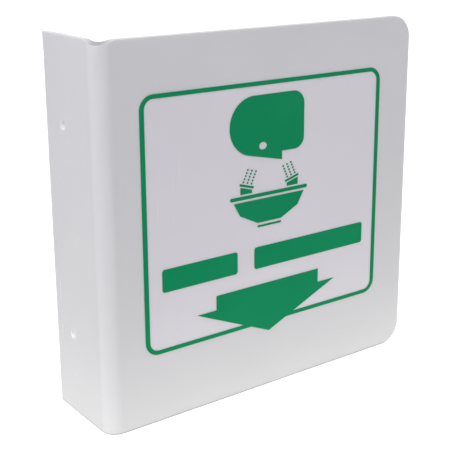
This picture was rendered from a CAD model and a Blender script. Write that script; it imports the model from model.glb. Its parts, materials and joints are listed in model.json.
"""Looks of a projecting wall sign.

One sheet of white acrylic is bent into an L. Its wide panel carries a green printed legend on both
faces, and its narrow flange, which goes against the wall, has two screw holes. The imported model
gives every place and size. The sheet is worked out here as a surface, with its rounded edges and
the pull of the bend at its ends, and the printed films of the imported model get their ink.
"""

import json
import logging
from dataclasses import dataclass, field
from enum import Enum
from typing import Callable, Sequence

import bpy
import numpy as np
from mathutils import Matrix, Vector


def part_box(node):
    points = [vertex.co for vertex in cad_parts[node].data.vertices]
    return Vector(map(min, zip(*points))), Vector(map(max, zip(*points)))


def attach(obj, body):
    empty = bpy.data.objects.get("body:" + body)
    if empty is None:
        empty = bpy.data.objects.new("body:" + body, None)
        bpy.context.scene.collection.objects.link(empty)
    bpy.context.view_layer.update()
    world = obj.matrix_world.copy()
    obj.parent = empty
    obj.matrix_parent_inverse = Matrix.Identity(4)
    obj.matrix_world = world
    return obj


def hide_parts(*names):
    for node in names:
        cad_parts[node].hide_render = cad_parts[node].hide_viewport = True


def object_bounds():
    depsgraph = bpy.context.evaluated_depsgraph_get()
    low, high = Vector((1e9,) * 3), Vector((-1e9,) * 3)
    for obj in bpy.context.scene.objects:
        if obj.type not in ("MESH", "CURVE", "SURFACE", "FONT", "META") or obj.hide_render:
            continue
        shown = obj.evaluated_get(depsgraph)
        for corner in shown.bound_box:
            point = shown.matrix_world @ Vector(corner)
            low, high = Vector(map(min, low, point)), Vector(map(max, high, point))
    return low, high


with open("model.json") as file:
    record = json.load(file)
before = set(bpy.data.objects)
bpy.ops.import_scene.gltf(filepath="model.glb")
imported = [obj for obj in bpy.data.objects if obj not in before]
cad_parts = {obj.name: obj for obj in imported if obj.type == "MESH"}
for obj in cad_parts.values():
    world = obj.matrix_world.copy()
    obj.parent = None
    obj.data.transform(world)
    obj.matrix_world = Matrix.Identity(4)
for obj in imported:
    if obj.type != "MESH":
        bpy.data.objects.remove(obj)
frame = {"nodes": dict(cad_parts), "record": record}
cad_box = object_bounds()

log = logging.getLogger("wall_sign")

Numbers = np.ndarray
Colour = tuple[float, float, float]
Place = tuple[float, float, float]
MM = 0.001
WELD = 1e-8            # points that round to the same multiple of this are one point
STEP = 1e-6            # step for slopes of the bent surface
TINY = 1e-12           # least length that a direction is divided by
NEARLY_ALONG = 0.9     # share of a direction on one axis from which it counts as along it


class Skin(Enum):
    """The two broad faces of the sheet, by the sign of their offset from its middle."""

    OUTER = 1
    INNER = -1


class Side(Enum):
    """The two printed faces of the panel, by the first word of their films' names."""

    FRONT = "front_"
    BACK = "back_"


# --- Surfaces ----------------------------------------------------------------------------------


@dataclass
class Patch:
    """A stretch of surface on the flat sheet, before it is bent.

    Points are rows of run, level and offset: run goes along the sheet from the flange's free edge
    to the panel's, level is the height, and offset is the distance from the middle of the
    thickness. The chart holds the two numbers by which a pattern follows the surface.
    """

    points: Numbers
    normals: Numbers
    chart: Numbers
    quads: Numbers


def lattice(rows: int, columns: int, closed: bool = False) -> Numbers:
    """Corner numbers of the quads of a grid of points that is stored row by row.

    A quad joins point (row, column) to (row, column + 1), (row + 1, column + 1) and
    (row + 1, column), so it faces along the column direction crossed with the row direction.

    Args:
        rows: Number of rows of points.
        columns: Number of points in a row.
        closed: Whether the last row joins the first.

    Returns:
        One row of four point numbers for each quad.
    """
    row, column = np.meshgrid(
        np.arange(rows if closed else rows - 1), np.arange(columns - 1), indexing="ij")
    here = row * columns + column
    above = ((row + 1) % rows) * columns + column
    return np.stack([here, here + 1, above + 1, above], axis=-1).reshape(-1, 4)


def spread(stops: Sequence[float], pitch: float) -> Numbers:
    """Evenly spaced values between each two stops, every stop included.

    Args:
        stops: Rising values that must be kept.
        pitch: Widest step between two values.

    Returns:
        The rising values.
    """
    spans = [np.linspace(low, high, max(2, int(np.ceil((high - low) / pitch)) + 1))[:-1]
             for low, high in zip(stops[:-1], stops[1:])]
    return np.concatenate([*spans, [stops[-1]]])


def unit(vectors: Numbers) -> Numbers:
    """Each row divided by its own length."""
    return vectors / np.maximum(np.linalg.norm(vectors, axis=-1, keepdims=True), TINY)


def welded(patches: Sequence[Patch]) -> tuple[Numbers, Numbers, Numbers, Numbers]:
    """Join patches into one surface whose shared points are stored once.

    Args:
        patches: The stretches of surface, each with its own point numbers.

    Returns:
        The points, the quads, and the normal and chart place of each quad corner.
    """
    starts = np.cumsum([0] + [len(patch.points) for patch in patches[:-1]])
    points = np.concatenate([patch.points for patch in patches])
    quads = np.concatenate([patch.quads + start for patch, start in zip(patches, starts)])
    normals = np.concatenate([patch.normals for patch in patches])[quads.ravel()]
    chart = np.concatenate([patch.chart for patch in patches])[quads.ravel()]
    keys = np.round(points / WELD).astype(np.int64)
    _, first, place = np.unique(keys, axis=0, return_index=True, return_inverse=True)
    return points[first], place.reshape(-1)[quads.ravel()].reshape(-1, 4), normals, chart


def open_edges(quads: Numbers) -> int:
    """Number of edges that don't have exactly two faces."""
    ends = np.sort(np.stack([quads, np.roll(quads, -1, axis=1)], axis=-1).reshape(-1, 2), axis=1)
    _, uses = np.unique(ends, axis=0, return_counts=True)
    return int((uses != 2).sum())


def normals_carried(shape: Callable[[Numbers], Numbers], points: Numbers,
                    normals: Numbers) -> Numbers:
    """Normals of a surface after its points have been moved by a smooth shape.

    Each normal gets two directions square to it. The shape is sampled a small step each way
    along both, and the cross product of the two differences is the new normal.

    Args:
        shape: Takes rows of points to their places in space.
        points: Points of the flat surface.
        normals: Unit normals of the flat surface at those points.

    Returns:
        Unit normals in space.
    """
    helper = np.where(np.abs(normals[:, :1]) < NEARLY_ALONG, [[1.0, 0.0, 0.0]], [[0.0, 1.0, 0.0]])
    first = unit(np.cross(helper, normals))
    second = np.cross(normals, first)
    along = shape(points + STEP * first) - shape(points - STEP * first)
    across = shape(points + STEP * second) - shape(points - STEP * second)
    return unit(np.cross(along, across))


# --- Node trees --------------------------------------------------------------------------------


class Nodes:
    """Short ways to add nodes to one tree."""

    # Sockets of the Mix node in its colour form, whose names come up more than once
    MIX_SHARE, MIX_FIRST, MIX_SECOND, MIX_RESULT = 0, 6, 7, 2

    def __init__(self, tree: bpy.types.NodeTree) -> None:
        """Take an empty or started tree."""
        self.tree = tree

    def add(self, kind: str, inputs: dict | None = None, **settings: object) -> bpy.types.Node:
        """Add one node.

        Args:
            kind: Blender's name of the node type.
            inputs: Sockets or plain values by input name or number.
            settings: Properties of the node itself.

        Returns:
            The node.
        """
        node = self.tree.nodes.new(kind)
        for name, value in settings.items():
            setattr(node, name, value)
        for name, value in (inputs or {}).items():
            if isinstance(value, bpy.types.NodeSocket):
                self.tree.links.new(value, node.inputs[name])
            else:
                node.inputs[name].default_value = value
        return node

    def math(self, operation: str, *values: object, clamp: bool = False) -> bpy.types.NodeSocket:
        """One step of arithmetic on up to three sockets or numbers."""
        node = self.add("ShaderNodeMath", dict(enumerate(values)), operation=operation,
                        use_clamp=clamp)
        return node.outputs[0]

    def ramp(self, value: object, low: float, high: float, bottom: float = 0.0,
             top: float = 1.0) -> bpy.types.NodeSocket:
        """A smooth, clamped step from bottom to top as value goes from low to high."""
        node = self.add("ShaderNodeMapRange", {"Value": value, "From Min": low, "From Max": high,
                                               "To Min": bottom, "To Max": top},
                        interpolation_type="SMOOTHSTEP")
        return node.outputs["Result"]

    def tint(self, share: object, first: object, second: object) -> bpy.types.NodeSocket:
        """A colour between two, by a share from nought to one."""
        node = self.add("ShaderNodeMix", {self.MIX_SHARE: share, self.MIX_FIRST: first,
                                          self.MIX_SECOND: second}, data_type="RGBA")
        return node.outputs[self.MIX_RESULT]

    def noise(self, place: object, scale: float, detail: float = 2.0) -> bpy.types.NodeSocket:
        """Smooth noise between nought and one."""
        node = self.add("ShaderNodeTexNoise", {"Vector": place, "Scale": scale, "Detail": detail})
        return node.outputs["Fac"]

    def stretched(self, place: object, turn: Sequence[float],
                  scale: Sequence[float]) -> bpy.types.NodeSocket:
        """Coordinates turned, then scaled apart on each axis."""
        node = self.add("ShaderNodeMapping", {"Vector": place, "Rotation": turn, "Scale": scale},
                        vector_type="POINT")
        return node.outputs["Vector"]


def group_tree(name: str, numbers: Sequence[str], output: str
               ) -> tuple[Nodes, dict, bpy.types.Node]:
    """Start a node group that takes a place and some numbers and puts out one number.

    Args:
        name: Name of the group.
        numbers: Names of the numbers that it takes.
        output: Name of the output.

    Returns:
        The nodes, the input sockets by name, and the output node.
    """
    tree = bpy.data.node_groups.new(name, "ShaderNodeTree")
    tree.interface.new_socket("Place", in_out="INPUT", socket_type="NodeSocketVector")
    for title in numbers:
        tree.interface.new_socket(title, in_out="INPUT", socket_type="NodeSocketFloat")
    tree.interface.new_socket(output, in_out="OUTPUT", socket_type="NodeSocketFloat")
    nodes = Nodes(tree)
    entry = tree.nodes.new("NodeGroupInput")
    given = {title: entry.outputs[title] for title in ("Place", *numbers)}
    return nodes, given, tree.nodes.new("NodeGroupOutput")


class Effects:
    """Node groups that more than one finish uses, each built once."""

    SCRATCH_TURNS = ((0.0, 0.35, 0.2), (0.0, -0.9, 0.1), (0.0, 1.9, -0.3))    # radians
    SCRATCH_STRETCH = (12.0, 12.0, 0.12)
    SCRATCH_SCALE = 90.0
    PATCH_SCALE = 35.0                       # of the noise that gathers scratches in patches
    PATCH_SPAN = (0.5, 0.7)                  # that noise where a patch starts and is full
    HAZE_SCALES = (14.0, 75.0)               # broad marks, close marks
    HAZE_SPAN = (0.15, 0.4)
    SPECK_SPAN = (0.10, 0.22)                # a speck's solid middle and its edge, in cells

    def __init__(self) -> None:
        """Build the groups."""
        self.hairlines = self._hairlines()
        self.haze = self._haze()
        self.dust = self._dust()

    @staticmethod
    def _hairlines() -> bpy.types.NodeTree:
        """Sparse fine scratches: noise drawn out a hundredfold along three directions, of which
        only the highest crests are kept, and those only in patches."""
        nodes, given, out = group_tree("hairline_scratches", ["Rarity"], "Scratch")
        found: object = 0.0
        for turn in Effects.SCRATCH_TURNS:
            drawn = nodes.stretched(given["Place"], turn, Effects.SCRATCH_STRETCH)
            height = nodes.noise(drawn, Effects.SCRATCH_SCALE, detail=0.0)
            crest = nodes.math("GREATER_THAN", height, given["Rarity"])
            found = nodes.math("MAXIMUM", found, crest)
        gathered = nodes.noise(given["Place"], Effects.PATCH_SCALE, detail=1.0)
        patches = nodes.ramp(gathered, *Effects.PATCH_SPAN)
        nodes.tree.links.new(nodes.math("MULTIPLY", found, patches), out.inputs["Scratch"])
        return nodes.tree

    @staticmethod
    def _haze() -> bpy.types.NodeTree:
        """Soft cloudy marks of handling, from two sizes of noise."""
        nodes, given, out = group_tree("handling_haze", ["Clean", "Marked"], "Value")
        broad, close = (nodes.noise(given["Place"], scale, detail=3.0)
                        for scale in Effects.HAZE_SCALES)
        share = nodes.ramp(nodes.math("MULTIPLY", broad, close), *Effects.HAZE_SPAN)
        reach = nodes.math("SUBTRACT", given["Marked"], given["Clean"])
        value = nodes.math("MULTIPLY_ADD", share, reach, given["Clean"])
        nodes.tree.links.new(value, out.inputs["Value"])
        return nodes.tree

    @staticmethod
    def _dust() -> bpy.types.NodeTree:
        """Small specks: the middles of scattered cells, kept in a share of the cells."""
        nodes, given, out = group_tree("dust_specks", ["Scale", "Share"], "Speck")
        cells = nodes.add("ShaderNodeTexVoronoi", {"Vector": given["Place"],
                                                   "Scale": given["Scale"]})
        near = nodes.ramp(cells.outputs["Distance"], *Effects.SPECK_SPAN, 1.0, 0.0)
        pick = nodes.add("ShaderNodeSeparateColor", {"Color": cells.outputs["Color"]})
        kept = nodes.math("LESS_THAN", pick.outputs[0], given["Share"])
        nodes.tree.links.new(nodes.math("MULTIPLY", near, kept), out.inputs["Speck"])
        return nodes.tree


def group_node(nodes: Nodes, tree: bpy.types.NodeTree, inputs: dict) -> bpy.types.NodeSocket:
    """Place a node group and return its one output."""
    return nodes.add("ShaderNodeGroup", inputs, node_tree=tree).outputs[0]


def new_material(name: str) -> tuple[bpy.types.Material, Nodes, bpy.types.Node]:
    """Start a material.

    Args:
        name: Name of the finish.

    Returns:
        The material, its nodes and its Principled shader.
    """
    material = bpy.data.materials.new(name)
    material.use_nodes = True
    nodes = Nodes(material.node_tree)
    return material, nodes, material.node_tree.nodes["Principled BSDF"]


def rgba(colour: Colour) -> tuple[float, float, float, float]:
    """A colour with full alpha."""
    return (*colour, 1.0)


# --- Finishes ----------------------------------------------------------------------------------


@dataclass(frozen=True)
class WhiteAcrylic:
    """White acrylic: glossy skins with a printed white ground under the legend, sawn edges, and
    pale drilled bores."""

    skin: Colour = (0.712, 0.703, 0.737)
    ground: Colour = (0.761, 0.739, 0.797)
    edge: Colour = (0.76, 0.765, 0.76)
    heated_edge: Colour = (0.46, 0.475, 0.465)
    bore: Colour = (0.97, 0.965, 0.97)
    polish: float = 0.09
    handled: float = 0.15
    scratched: float = 0.24
    sawn: float = 0.5
    gloss_ior: float = 1.49
    milky: float = 0.6                   # share of the light that wanders inside the sheet
    wander: float = 3.0 * MM             # how far it wanders
    mottle_scale: float = 22.0
    mottle_span: tuple[float, float] = (0.3, 0.7)
    mottle_dark: float = 0.985           # darkest mottle's share of the colour
    dust: Colour = (0.45, 0.44, 0.42)
    dust_scale: float = 420.0
    dust_share: float = 0.02             # share of the cells that hold a speck
    dust_cover: float = 0.12
    dust_rough: float = 0.5
    scratch_rarity: float = 0.78
    ripple_scale: float = 38.0
    ripple_stretch: Place = (1.0, 1.0, 0.35)
    ripple: float = 0.03 * MM            # height of the sheet's ripple
    heated_ripple: float = 0.22 * MM     # what the bend adds to it
    saw_stretch: Place = (2400.0, 90.0, 1.0)
    saw_depth: float = 0.08 * MM
    ground_blur: float = 0.4 * MM        # soft rim of the printed ground

    def material(self, effects: Effects, ground_area: tuple[Vector, Vector, float]
                 ) -> bpy.types.Material:
        """Build the finish.

        Args:
            effects: The shared node groups.
            ground_area: Lowest and highest corner and corner radius of the printed ground.

        Returns:
            The material, which reads the sheet's own chart and masks.
        """
        material, nodes, shader = new_material("white_acrylic")
        place = nodes.add("ShaderNodeTexCoord").outputs["Object"]
        chart = nodes.add("ShaderNodeUVMap", uv_map=BentSheet.CHART).outputs["UV"]
        cut, heat, drilled = (
            nodes.add("ShaderNodeAttribute", attribute_name=mask).outputs["Fac"]
            for mask in (BentSheet.CUT_MASK, BentSheet.HEAT_MASK, BentSheet.BORE_MASK))

        cloud = nodes.noise(place, self.mottle_scale, detail=4.0)
        mottle = nodes.ramp(cloud, *self.mottle_span, self.mottle_dark, 1.0)
        skin = self._times(nodes, self.skin, mottle)
        printed = self._ground_mask(nodes, place, ground_area)
        skin = nodes.tint(printed, skin, self._times(nodes, self.ground, mottle))
        dust = group_node(nodes, effects.dust, {"Place": place, "Scale": self.dust_scale,
                                                "Share": self.dust_share})
        skin = nodes.tint(nodes.math("MULTIPLY", dust, self.dust_cover), skin, rgba(self.dust))
        heated = nodes.tint(heat, rgba(self.edge), rgba(self.heated_edge))
        colour = nodes.tint(drilled, nodes.tint(cut, skin, heated), rgba(self.bore))
        nodes.tree.links.new(colour, shader.inputs["Base Color"])

        haze = group_node(nodes, effects.haze, {"Place": place, "Clean": self.polish,
                                                "Marked": self.handled})
        scratch = group_node(nodes, effects.hairlines, {"Place": place,
                                                        "Rarity": self.scratch_rarity})
        rough = nodes.math("MULTIPLY_ADD", scratch, self.scratched - self.polish, haze)
        rough = nodes.math("MAXIMUM", rough, nodes.math("MULTIPLY", dust, self.dust_rough))
        share = nodes.math("MULTIPLY", cut, nodes.math("SUBTRACT", self.sawn, rough))
        rough = nodes.math("ADD", rough, share, clamp=True)
        nodes.tree.links.new(rough, shader.inputs["Roughness"])
        shader.inputs["IOR"].default_value = self.gloss_ior
        shader.inputs["Subsurface Weight"].default_value = self.milky
        shader.inputs["Subsurface Radius"].default_value = (1.0, 1.0, 1.0)
        shader.inputs["Subsurface Scale"].default_value = self.wander

        drawn = nodes.stretched(place, (0, 0, 0), self.ripple_stretch)
        swing = nodes.math("MULTIPLY_ADD", heat, self.heated_ripple, self.ripple)
        skin_height = nodes.math("MULTIPLY", nodes.noise(drawn, self.ripple_scale, detail=1.0),
                                 swing)
        marks = nodes.noise(nodes.stretched(chart, (0, 0, 0), self.saw_stretch), scale=1.0)
        cut_height = nodes.math("MULTIPLY", nodes.math("MULTIPLY", marks, cut), self.saw_depth)
        height = nodes.math("ADD", skin_height, cut_height)
        bump = nodes.add("ShaderNodeBump", {"Height": height, "Strength": 1.0, "Distance": 1.0})
        nodes.tree.links.new(bump.outputs["Normal"], shader.inputs["Normal"])
        return material

    @staticmethod
    def _times(nodes: Nodes, colour: Colour, value: bpy.types.NodeSocket) -> bpy.types.NodeSocket:
        """A colour made darker by a varying share."""
        node = nodes.add("ShaderNodeVectorMath", {"Vector": colour, "Scale": value},
                         operation="SCALE")
        return node.outputs[0]

    def _ground_mask(self, nodes: Nodes, place: bpy.types.NodeSocket,
                     area: tuple[Vector, Vector, float]) -> bpy.types.NodeSocket:
        """One inside a rounded rectangle seen along the panel's normal, nought outside it.

        A point's reach past the rectangle that joins the corners' centres is taken along both
        sides. The length of that reach is the corner radius at the rim, all the way round.
        """
        low, high, radius = area
        parts = nodes.add("ShaderNodeSeparateXYZ", {"Vector": place}).outputs
        beyond = []
        for axis in (0, 2):
            middle, half = (low[axis] + high[axis]) / 2, (high[axis] - low[axis]) / 2
            offset = nodes.math("ABSOLUTE", nodes.math("SUBTRACT", parts[axis], middle))
            beyond.append(nodes.math("MAXIMUM", nodes.math("SUBTRACT", offset, half - radius), 0.0))
        length = nodes.math("SQRT", nodes.math("ADD", nodes.math("POWER", beyond[0], 2.0),
                                               nodes.math("POWER", beyond[1], 2.0)))
        return nodes.ramp(length, radius - self.ground_blur, radius, 1.0, 0.0)


@dataclass(frozen=True)
class GreenInk:
    """Screen-printed green ink: an even satin film with a fine grain and a few thin spots."""

    film: Colour = (0.0015, 0.256, 0.104)
    thin: Colour = (0.004, 0.278, 0.118)
    satin: float = 0.30
    dull: float = 0.42
    gloss_ior: float = 1.46
    gloss: float = 0.15
    cloud_scale: float = 30.0
    cloud_span: tuple[float, float] = (0.35, 0.75)
    cloud_share: float = 0.45            # how far the clouds thin the film
    speck_share: float = 0.55            # how far the specks do
    speck_scale: float = 700.0
    speck_rarity: float = 0.03           # share of the cells that hold a speck
    scratch_rarity: float = 0.8
    scratch_rough: float = 0.08
    grain_scale: float = 2600.0
    grain_height: float = 0.006 * MM
    grain_strength: float = 0.6

    def material(self, effects: Effects) -> bpy.types.Material:
        """Build the finish from the shared node groups."""
        material, nodes, shader = new_material("green_ink")
        place = nodes.add("ShaderNodeTexCoord").outputs["Object"]
        cloud = nodes.ramp(nodes.noise(place, self.cloud_scale, detail=4.0), *self.cloud_span)
        specks = group_node(nodes, effects.dust, {"Place": place, "Scale": self.speck_scale,
                                                  "Share": self.speck_rarity})
        share = nodes.math("ADD", nodes.math("MULTIPLY", cloud, self.cloud_share),
                           nodes.math("MULTIPLY", specks, self.speck_share), clamp=True)
        nodes.tree.links.new(nodes.tint(share, rgba(self.film), rgba(self.thin)),
                             shader.inputs["Base Color"])
        haze = group_node(nodes, effects.haze, {"Place": place, "Clean": self.satin,
                                                "Marked": self.dull})
        scratch = group_node(nodes, effects.hairlines, {"Place": place,
                                                        "Rarity": self.scratch_rarity})
        rough = nodes.math("MULTIPLY_ADD", scratch, self.scratch_rough, haze)
        nodes.tree.links.new(rough, shader.inputs["Roughness"])
        shader.inputs["IOR"].default_value = self.gloss_ior
        shader.inputs["Specular IOR Level"].default_value = self.gloss
        grain = nodes.noise(place, self.grain_scale)
        height = nodes.math("MULTIPLY", grain, self.grain_height)
        bump = nodes.add("ShaderNodeBump", {"Height": height, "Strength": self.grain_strength,
                                            "Distance": 1.0})
        nodes.tree.links.new(bump.outputs["Normal"], shader.inputs["Normal"])
        return material


@dataclass(frozen=True)
class PaleFloor:
    """A plain pale floor, which the lens sees washed out to white."""

    shade: Colour = (0.45, 0.45, 0.45)
    rough: float = 0.75
    patchy: float = 0.08                 # how much rougher its patches are
    wash: float = 1.0

    def material(self, effects: Effects) -> bpy.types.Material:
        """Build the finish from the shared node groups."""
        material, nodes, shader = new_material("pale_floor")
        place = nodes.add("ShaderNodeTexCoord").outputs["Object"]
        haze = group_node(nodes, effects.haze, {"Place": place, "Clean": self.rough,
                                                "Marked": self.rough + self.patchy})
        nodes.tree.links.new(haze, shader.inputs["Roughness"])
        shader.inputs["Base Color"].default_value = rgba(self.shade)
        shader.inputs["Specular IOR Level"].default_value = 0.0
        shader.inputs["Emission Color"].default_value = (1.0, 1.0, 1.0, 1.0)
        seen = nodes.add("ShaderNodeLightPath").outputs["Is Camera Ray"]
        nodes.tree.links.new(nodes.math("MULTIPLY", seen, self.wash),
                             shader.inputs["Emission Strength"])
        return material


# --- The sign ----------------------------------------------------------------------------------


@dataclass
class BentSheet:
    """The sheet of acrylic: panel, bend and flange in one piece, with its two screw holes."""

    low: Vector
    high: Vector
    hole_level: float
    hole_radius: float
    thickness: float = 3.175 * MM
    inner_bend_radius: float = 4.7625 * MM
    panel_corner: float = 12.7 * MM
    flange_corner: float = 0.8 * MM
    rounding: float = 0.4 * MM
    hole_rounding: float = 0.15 * MM
    hole_square: float = 6.0 * MM        # half side of the square of surface round a hole
    hole_steps: int = 16                 # quads along one side of that square
    ring_steps: int = 8                  # rings of quads in that square
    ring_crowding: float = 1.4           # how much they crowd towards the hole
    bore_share: float = 0.9              # share of a hole's rounding that counts as its bore
    bend_steps: int = 32                 # quads round the bend
    corner_steps: int = 14               # quads down one corner of the panel
    small_corner_steps: int = 6          # quads down one corner of the flange
    rounding_steps: int = 5              # quads round each of a cut edge's two roundings
    wall_steps: int = 4                  # quads down the wall between them
    start_steps: int = 4                 # quads in the strip beside the flange's corners
    finish_steps: int = 10               # quads in the strip beside the panel's corners
    pitch: float = 5.0 * MM              # widest quad on the flat stretches
    corner_margin: float = 8.0 * MM      # strip beside a panel corner that takes up its curve
    small_corner_margin: float = 3.0 * MM
    bend_margin: float = 10.0 * MM       # strip beside the bend that keeps its own stop
    top_draw: tuple[float, float] = (2.6 * MM, 0.85 * MM)      # outer skin, inner skin
    foot_draw: tuple[float, float] = (0.2 * MM, 0.05 * MM)
    draw_depth: float = 6.0 * MM         # how far down from the end the pull fades
    draw_reach: float = 5.0 * MM         # how far along the sheet it fades

    CHART = "sheet_chart"
    CUT_MASK = "cut_edge"
    HEAT_MASK = "heated"
    BORE_MASK = "drilled"

    def __post_init__(self) -> None:
        """Work out the lengths of the flat sheet from the box of the bent one.

        The holes are centred where y is nought, so their run is the y of the flange's free edge.
        """
        self.half = self.thickness / 2
        self.middle_radius = self.inner_bend_radius + self.half
        outer = self.inner_bend_radius + self.thickness
        self.bend_centre = (self.low.x + outer, self.low.y + outer)
        self.flange_flat = self.high.y - self.bend_centre[1]
        self.bend_run = self.middle_radius * np.pi / 2
        self.length = self.flange_flat + self.bend_run + self.high.x - self.bend_centre[0]
        self.top = self.high.z
        self.hole_run = self.high.y

    # The shape of the bent sheet

    def bent(self, points: Numbers) -> Numbers:
        """Places in space of points of the flat sheet.

        The level is first drawn in near the ends of the bend. The flange is a flat at right
        angles to the panel. Between them a point turns about the centre of the bend, at the
        middle radius plus its offset, by the run past the flange over the middle radius.

        Args:
            points: Rows of run, level and offset.

        Returns:
            Rows of x, y and z.
        """
        run, level, offset = points.T
        level = level - np.sign(level) * self.drawn_in(run, level, offset)
        turn = np.clip((run - self.flange_flat) / self.middle_radius, 0.0, np.pi / 2)
        radius = self.middle_radius + offset
        before = np.minimum(run - self.flange_flat, 0.0)
        after = np.maximum(run - self.flange_flat - self.bend_run, 0.0)
        x = self.bend_centre[0] - radius * np.cos(turn) + after
        y = self.bend_centre[1] - radius * np.sin(turn) - before
        return np.stack([x, y, level], axis=-1)

    def heated(self, run: Numbers) -> Numbers:
        """Nearness to the middle of the bend: a flat-topped bell curve along the run."""
        away = np.abs(run - self.flange_flat - self.bend_run / 2)
        return np.exp(-(away / self.draw_reach) ** 3)

    def drawn_in(self, run: Numbers, level: Numbers, offset: Numbers) -> Numbers:
        """How far the stretched outer side of the bend pulls its ends in.

        The pull goes in a straight line from the inner skin's to the outer skin's, falls off
        with distance from the end, and follows the bell curve of the heated strip.
        """
        outer = np.where(level > 0, self.top_draw[0], self.foot_draw[0])
        inner = np.where(level > 0, self.top_draw[1], self.foot_draw[1])
        across = inner + (outer - inner) * (offset + self.half) / self.thickness
        fade = np.exp(-(self.top - np.abs(level)) / self.draw_depth)
        return across * fade * self.heated(run)

    # Stretches of its surface

    def _runs_and_levels(self) -> tuple[Numbers, Numbers]:
        """Runs and levels of the skin's grid, each point a row and column of two arrays.

        The runs go from edge to edge, with the bend and the squares round the holes at their
        own finer steps. Beside a rounded end, a row's last few runs are shared out between a
        fixed line and where the rounded outline crosses that row's level.
        """
        edge, square = self.rounding, self.hole_square
        start = self.flange_corner + self.small_corner_margin
        finish = self.length - self.panel_corner - self.corner_margin
        bend_end = self.flange_flat + self.bend_run
        hole = np.linspace(self.hole_run - square, self.hole_run + square, self.hole_steps + 1)
        inner_runs = np.concatenate([
            spread([start, hole[0]], self.pitch / 2)[:-1], hole[:-1],
            spread([hole[-1], self.flange_flat], self.pitch / 2)[:-1],
            np.linspace(self.flange_flat, bend_end, self.bend_steps + 1)[:-1],
            spread([bend_end, bend_end + self.bend_margin, finish], self.pitch)])

        quarter = np.linspace(0.0, np.pi / 2, self.small_corner_steps + 1)
        small = self.top - self.flange_corner + (self.flange_corner - edge) * np.sin(quarter)
        big = self.panel_corner - edge
        limit = np.arcsin((small[0] - self.top + self.panel_corner) / big)
        wide = np.linspace(0.0, limit, self.corner_steps + 1)
        wide = self.top - self.panel_corner + big * np.sin(wide)
        hole = np.linspace(self.hole_level - square, self.hole_level + square, self.hole_steps + 1)
        upper = np.concatenate([
            spread([0.0, hole[0]], self.pitch)[:-1], hole[:-1],
            spread([hole[-1], wide[0]], self.pitch)[:-1], wide[:-1], small])
        levels = np.concatenate([-upper[:0:-1], upper])

        reach = np.abs(levels)
        first = self.flange_corner - self._arc(reach, self.flange_corner)
        last = self.length - self.panel_corner + self._arc(reach, self.panel_corner)
        shares = np.linspace(0.0, 1.0, self.start_steps + 1)
        head = first[:, None] + (start - first)[:, None] * shares[None, :-1]
        shares = np.linspace(0.0, 1.0, self.finish_steps + 1)[1:]
        tail = finish + (last - finish)[:, None] * shares[None, :]
        runs = np.hstack([head, np.tile(inner_runs, (len(levels), 1)), tail])
        return runs, np.tile(levels[:, None], (1, runs.shape[1]))

    def _arc(self, reach: Numbers, corner: float) -> Numbers:
        """Half chord of the inset corner circle at each distance from the sheet's mid height."""
        past = np.maximum(reach - (self.top - corner), 0.0)
        return np.sqrt(np.maximum((corner - self.rounding) ** 2 - past ** 2, 0.0))

    def _skin(self, side: Skin) -> Patch:
        """One broad face: the grid without the squares round the holes."""
        runs, levels = self._runs_and_levels()
        points = np.stack([runs, levels, np.full_like(runs, side.value * self.half)], axis=-1)
        quads = lattice(*runs.shape)
        points = points.reshape(-1, 3)
        middle = points[quads].mean(axis=1)
        inside = ((np.abs(middle[:, 0] - self.hole_run) < self.hole_square)
                  & (np.abs(np.abs(middle[:, 1]) - self.hole_level) < self.hole_square))
        return self._faced(points, quads[~inside], side)

    def _hole_surround(self, side: Skin, level: float) -> Patch:
        """The square of one broad face round a hole.

        Rings of points go from the circle at the hole's rounded edge to the square. A ring's
        share of the way is its number over the number of rings, to a power that crowds the
        rings towards the hole.
        """
        count = 4 * self.hole_steps
        along = np.linspace(-1.0, 1.0, self.hole_steps + 1)[:-1]
        one = np.ones_like(along)
        square = self.hole_square * np.concatenate([
            np.stack([one, along], -1), np.stack([-along, one], -1),
            np.stack([-one, -along], -1), np.stack([along, -one], -1)])
        angle = 2 * np.pi * np.arange(count) / count - np.pi / 4
        circle = (self.hole_radius + self.hole_rounding) * np.stack(
            [np.cos(angle), np.sin(angle)], -1)
        share = np.linspace(0.0, 1.0, self.ring_steps + 1) ** self.ring_crowding
        share = share[None, :, None]
        rings = circle[:, None] * (1 - share) + square[:, None] * share
        rings = rings + np.array([self.hole_run, level])
        offset = np.full(rings.shape[:2] + (1,), side.value * self.half)
        points = np.concatenate([rings, offset], axis=-1).reshape(-1, 3)
        return self._faced(points, lattice(count, rings.shape[1], closed=True), side)

    @staticmethod
    def _faced(points: Numbers, quads: Numbers, side: Skin) -> Patch:
        """A stretch of a broad face, with its quads turned outwards."""
        normals = np.tile([0.0, 0.0, float(side.value)], (len(points), 1))
        facing = quads if side is Skin.OUTER else quads[:, ::-1]
        return Patch(points, normals, points[:, :2].copy(), facing)

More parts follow.
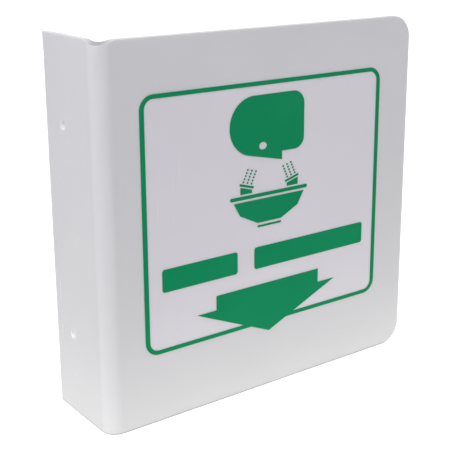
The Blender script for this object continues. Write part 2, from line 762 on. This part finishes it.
    def _cut(self, ring: Numbers, outward: Numbers, rounding: float) -> Patch:
        """A cut edge carried round a closed outline.

        The profile starts on the outer skin, turns a quarter circle of the rounding, goes
        straight down the wall and turns a quarter circle onto the inner skin.

        Args:
            ring: Rows of run and level, in order, on the outline less the rounding.
            outward: Unit directions out of the material at those points.
            rounding: Radius of the edge.

        Returns:
            The strip of surface.
        """
        turn = np.linspace(0.0, np.pi / 2, self.rounding_steps + 1)
        wall = np.linspace(self.half - rounding, rounding - self.half, self.wall_steps + 1)
        flush = np.ones(self.wall_steps - 1)
        reach = rounding * np.concatenate([np.sin(turn), flush, np.sin(turn[::-1])])
        depth = np.concatenate([self.half - rounding + rounding * np.cos(turn), wall[1:-1],
                                rounding - self.half - rounding * np.cos(turn[::-1])])
        lean = np.concatenate([turn, flush * np.pi / 2, np.pi - turn[::-1]])
        flat = ring[:, None] + reach[None, :, None] * outward[:, None]
        level = np.broadcast_to(depth[None, :, None], flat.shape[:2] + (1,))
        points = np.concatenate([flat, level], axis=-1).reshape(-1, 3)
        sideways = np.sin(lean)[None, :, None] * outward[:, None]
        upward = np.broadcast_to(np.cos(lean)[None, :, None], level.shape)
        normals = np.concatenate([sideways, upward], axis=-1).reshape(-1, 3)
        steps = np.linalg.norm(np.diff(ring, axis=0, append=ring[:1]), axis=1)
        travel = np.concatenate([[0.0], np.cumsum(steps)[:-1]])
        chart = np.stack(np.broadcast_arrays(travel[:, None], depth[None, :]), -1).reshape(-1, 2)
        return Patch(points, normals, chart, lattice(len(ring), len(depth), closed=True))

    def _outline(self) -> tuple[Numbers, Numbers]:
        """The edge of the skin's grid, anticlockwise, and the directions out of the sheet.

        A direction is what is left of a point once it is brought no nearer to the edge than
        its corner's centre.
        """
        runs, levels = self._runs_and_levels()
        grid = np.stack([runs, levels], -1)
        ring = np.concatenate([grid[0, :-1], grid[:-1, -1], grid[-1, :0:-1], grid[:0:-1, 0]])
        near_panel = ring[:, 0] > self.length / 2
        corner = np.where(near_panel, self.panel_corner, self.flange_corner)
        centre = np.clip(ring[:, 0], self.flange_corner, self.length - self.panel_corner)
        past = np.maximum(np.abs(ring[:, 1]) - (self.top - corner), 0.0)
        out = np.stack([ring[:, 0] - centre, np.sign(ring[:, 1]) * past], -1)
        return ring, unit(out)

    def _hole_ring(self, level: float) -> tuple[Numbers, Numbers]:
        """The rounded circle of a hole, clockwise, and the directions into the hole."""
        count = 4 * self.hole_steps
        angle = -2 * np.pi * np.arange(count) / count - np.pi / 4
        round_it = np.stack([np.cos(angle), np.sin(angle)], -1)
        ring = (self.hole_radius + self.hole_rounding) * round_it + np.array([self.hole_run, level])
        return ring, -round_it

    def build(self, finish: bpy.types.Material) -> bpy.types.Object:
        """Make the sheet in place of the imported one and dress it.

        Args:
            finish: The acrylic.

        Returns:
            The sheet's object.
        """
        patches = [self._skin(side) for side in Skin]
        patches += [self._hole_surround(side, level)
                    for side in Skin for level in (-self.hole_level, self.hole_level)]
        patches.append(self._cut(*self._outline(), self.rounding))
        patches += [self._cut(*self._hole_ring(level), self.hole_rounding)
                    for level in (-self.hole_level, self.hole_level)]
        points, quads, normals, chart = welded(patches)
        corners = points[quads.ravel()]
        carried = normals_carried(self.bent, corners, normals)

        mesh = bpy.data.meshes.new("bent_sheet")
        mesh.from_pydata(self.bent(points).tolist(), [], quads.tolist())
        mesh.polygons.foreach_set("use_smooth", np.ones(len(quads), dtype=bool))
        layer = mesh.uv_layers.new(name=self.CHART)
        layer.data.foreach_set("uv", chart.astype(np.float32).ravel())
        cut = np.zeros(len(points), np.float32)
        np.maximum.at(cut, quads.ravel(), np.hypot(normals[:, 0], normals[:, 1]).astype(np.float32))
        from_axis = np.hypot(points[:, 0] - self.hole_run, np.abs(points[:, 1]) - self.hole_level)
        bore = from_axis < self.hole_radius + self.bore_share * self.hole_rounding
        for name, values in ((self.CUT_MASK, cut), (self.BORE_MASK, bore),
                             (self.HEAT_MASK, self.heated(points[:, 0]))):
            mask = mesh.attributes.new(name, "FLOAT", "POINT")
            mask.data.foreach_set("value", values.astype(np.float32))
        mesh.update()
        mesh.normals_split_custom_set(carried.tolist())
        mesh.materials.append(finish)

        sheet = bpy.data.objects.new("bent_sheet", mesh)
        bpy.context.scene.collection.objects.link(sheet)
        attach(sheet, "root")
        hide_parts("sign_sheet")
        log.info("bent_sheet: %d quads, %d open edges", len(quads), open_edges(quads))
        return sheet


@dataclass
class PrintedLegend:
    """The printed films on both faces of the panel."""

    films: dict[str, bpy.types.Object]
    border_radius: float = 8.0 * MM
    border_name: str = "border_line"

    def ground_area(self) -> tuple[Vector, Vector, float]:
        """Lowest and highest corner and corner radius of the area inside the border's outline."""
        low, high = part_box(Side.FRONT.value + self.border_name)
        return low, high, self.border_radius

    def dress(self, ink: bpy.types.Material) -> None:
        """Give every film its ink."""
        for side in Side:
            names = sorted(name for name in self.films if name.startswith(side.value))
            for name in names:
                film = self.films[name]
                film.data.materials.clear()
                film.data.materials.append(ink)
            log.info("%s face: %d printed films", side.name.lower(), len(names))


# --- The studio --------------------------------------------------------------------------------


@dataclass(frozen=True)
class SoftBox:
    """A soft rectangular lamp that the lens doesn't see."""

    name: str
    place: Place
    aim: Place
    size: tuple[float, float]
    watts: float
    colour: Colour = (1.0, 1.0, 1.0)
    mirrored: bool = True                # whether gloss shows it

    def build(self) -> bpy.types.Object:
        """Place the lamp and point it."""
        lamp = bpy.data.lights.new(self.name, "AREA")
        lamp.shape = "RECTANGLE"
        lamp.size, lamp.size_y = self.size
        lamp.energy = self.watts
        lamp.color = self.colour
        box = bpy.data.objects.new(self.name, lamp)
        way = Vector(self.aim) - Vector(self.place)
        box.matrix_world = (Matrix.Translation(self.place)
                            @ way.to_track_quat("-Z", "Y").to_matrix().to_4x4())
        box.visible_camera = False
        box.visible_glossy = self.mirrored
        bpy.context.scene.collection.objects.link(box)
        return box


@dataclass
class Studio:
    """A plain pale floor, soft lamps and the camera."""

    floor_level: float
    floor_reach: float = 14.0
    camera_place: Place = (-0.21764, -0.44246, 0.15718)
    yaw: float = 37.019                  # degrees from +Y towards +X
    dip: float = 15.312                  # degrees below the level
    roll: float = -0.009
    lens: float = 79.24
    sensor: float = 36.0
    sight: float = 100.0                 # how far the camera sees
    shift: tuple[float, float] = (-0.0526, -0.08524)
    sky: float = 0.35
    lamps: list[SoftBox] = field(default_factory=lambda: [
        SoftBox("high_left", (-1.344, -0.382, 1.032), (0.08, 0.0, 0.0), (0.9, 0.9), 21.6),
        SoftBox("right_front", (1.129, -1.250, 0.761), (0.08, 0.0, 0.0), (0.9, 0.9), 10.9),
        SoftBox("back_fill", (0.80, 1.30, 0.10), (0.08, 0.0, 0.0), (0.9, 0.9), 6.5),
        SoftBox("floor_glow", (0.115, -0.02, -0.1011), (0.115, -0.02, 0.1), (0.42, 0.20), 0.19,
                colour=(1.0, 1.02, 0.88), mirrored=False),
    ])

    def build(self, finish: bpy.types.Material) -> None:
        """Set up the floor, the lamps, the sky and the camera.

        Args:
            finish: The floor's finish.
        """
        reach, level = self.floor_reach, self.floor_level
        mesh = bpy.data.meshes.new("studio_floor")
        mesh.from_pydata([(-reach, -reach, level), (reach, -reach, level),
                          (reach, reach, level), (-reach, reach, level)], [], [(0, 1, 2, 3)])
        mesh.materials.append(finish)
        floor = bpy.data.objects.new("studio_floor", mesh)
        bpy.context.scene.collection.objects.link(floor)
        for lamp in self.lamps:
            lamp.build()
        self._sky()
        self._camera()
        bpy.context.scene.view_settings.view_transform = "Standard"
        log.info("studio: %d lamps", len(self.lamps))

    def _sky(self) -> None:
        """An even surround, white where the lens looks straight at it."""
        world = bpy.data.worlds.new("even_sky")
        world.use_nodes = True
        nodes = Nodes(world.node_tree)
        background = world.node_tree.nodes["Background"]
        background.inputs["Color"].default_value = (1.0, 1.0, 1.0, 1.0)
        seen = nodes.add("ShaderNodeLightPath").outputs["Is Camera Ray"]
        strength = nodes.math("MULTIPLY_ADD", seen, 1.0 - self.sky, self.sky)
        nodes.tree.links.new(strength, background.inputs["Strength"])
        bpy.context.scene.world = world

    def _camera(self) -> None:
        """Place the camera, look along its yaw and dip, and frame by lens and shift."""
        camera = bpy.data.cameras.new("camera")
        camera.lens = self.lens
        camera.sensor_width = self.sensor
        camera.shift_x, camera.shift_y = self.shift
        camera.clip_end = self.sight
        viewer = bpy.data.objects.new("camera", camera)
        angles = np.radians([90.0 - self.dip, self.roll, -self.yaw])
        turned = (Matrix.Rotation(angles[2], 4, "Z") @ Matrix.Rotation(angles[0], 4, "X")
                  @ Matrix.Rotation(angles[1], 4, "Z"))
        viewer.matrix_world = Matrix.Translation(self.camera_place) @ turned
        bpy.context.scene.collection.objects.link(viewer)
        bpy.context.scene.camera = viewer


# --- Putting it together -----------------------------------------------------------------------


def wall_holes() -> tuple[float, float]:
    """Height of the upper hole's centre and the holes' radius, in metres, from the record."""
    mount = next(one for one in frame["record"]["mounts"] if one["name"] == "wall_holes")
    pattern = mount["dims"]
    return pattern["spacing_y_mm"] * MM / 2, pattern["hole_r_mm"] * MM


def main() -> None:
    """Build the sign and the studio round it."""
    logging.basicConfig(level=logging.INFO, format="%(name)s: %(message)s")
    effects = Effects()
    legend = PrintedLegend(frame["nodes"])
    low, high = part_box("sign_sheet")
    hole_level, hole_radius = wall_holes()
    acrylic = WhiteAcrylic().material(effects, legend.ground_area())
    BentSheet(low, high, hole_level, hole_radius).build(acrylic)
    legend.dress(GreenInk().material(effects))
    Studio(floor_level=cad_box[0][2]).build(PaleFloor().material(effects))


if __name__ == "__main__":
    main()
